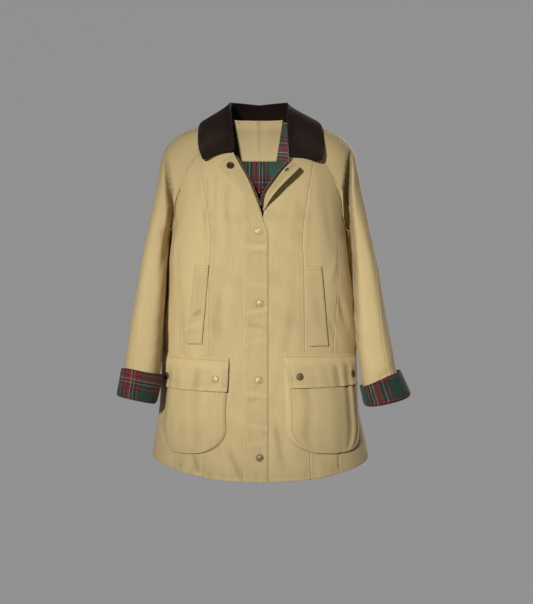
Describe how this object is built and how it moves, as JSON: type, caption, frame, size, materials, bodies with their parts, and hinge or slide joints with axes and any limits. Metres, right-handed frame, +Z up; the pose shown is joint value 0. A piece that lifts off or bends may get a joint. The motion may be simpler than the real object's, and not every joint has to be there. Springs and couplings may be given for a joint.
{
  "type": "barn jacket",
  "caption": "Hip-length barn jacket, filled out and hollow, with raglan sleeves, corduroy collar, snapped storm fly, bellows pockets and turned-back plaid cuffs.",
  "frame": {"origin": "middle of the line between the two side neck points, where the wearer's shoulders hold the jacket up", "axes": "+Z up from hem to collar, -Y out of the front, +X towards the wearer's left side"},
  "size_m": [0.5852, 0.3104, 0.7857],
  "materials": {
    "khaki_twill": "matt cotton twill, topstitched",
    "plaid_cotton": "woven plaid, green ground with red, black and cream lines",
    "brown_corduroy": "fine needlecord with a soft nap",
    "zip_tape": "woven tape",
    "antique_brass": "brushed antique brass",
    "dark_brass": "dark antique brass"
  },
  "bodies": {
    "root": {"back": "khaki_twill", "collar": "brown_corduroy", "cuff_left": "plaid_cotton", "cuff_right": "plaid_cotton", "flap_left": "khaki_twill", "flap_right": "khaki_twill", "fly": "khaki_twill", "front_left_centre": "khaki_twill", "front_left_side": "khaki_twill", "front_right_centre": "khaki_twill", "front_right_side": "khaki_twill", "lapel_left": "khaki_twill", "lapel_right": "khaki_twill", "lining_back": "plaid_cotton", "lining_front_left": "plaid_cotton", "lining_front_right": "plaid_cotton", "neck_patch": "khaki_twill", "pocket_left": "khaki_twill", "pocket_right": "khaki_twill", "sleeve_left": "khaki_twill", "sleeve_right": "khaki_twill", "snap_flap_1": "antique_brass", "snap_flap_2": "antique_brass", "snap_flap_3": "antique_brass", "snap_flap_4": "antique_brass", "snap_fly_1": "antique_brass", "snap_fly_2": "antique_brass", "snap_fly_3": "antique_brass", "snap_fly_4": "antique_brass", "snap_socket": "dark_brass", "snap_stud": "dark_brass", "welt_left": "khaki_twill", "welt_right": "khaki_twill", "zip_left": "zip_tape", "zip_right": "zip_tape"}
  },
  "joints": []
}
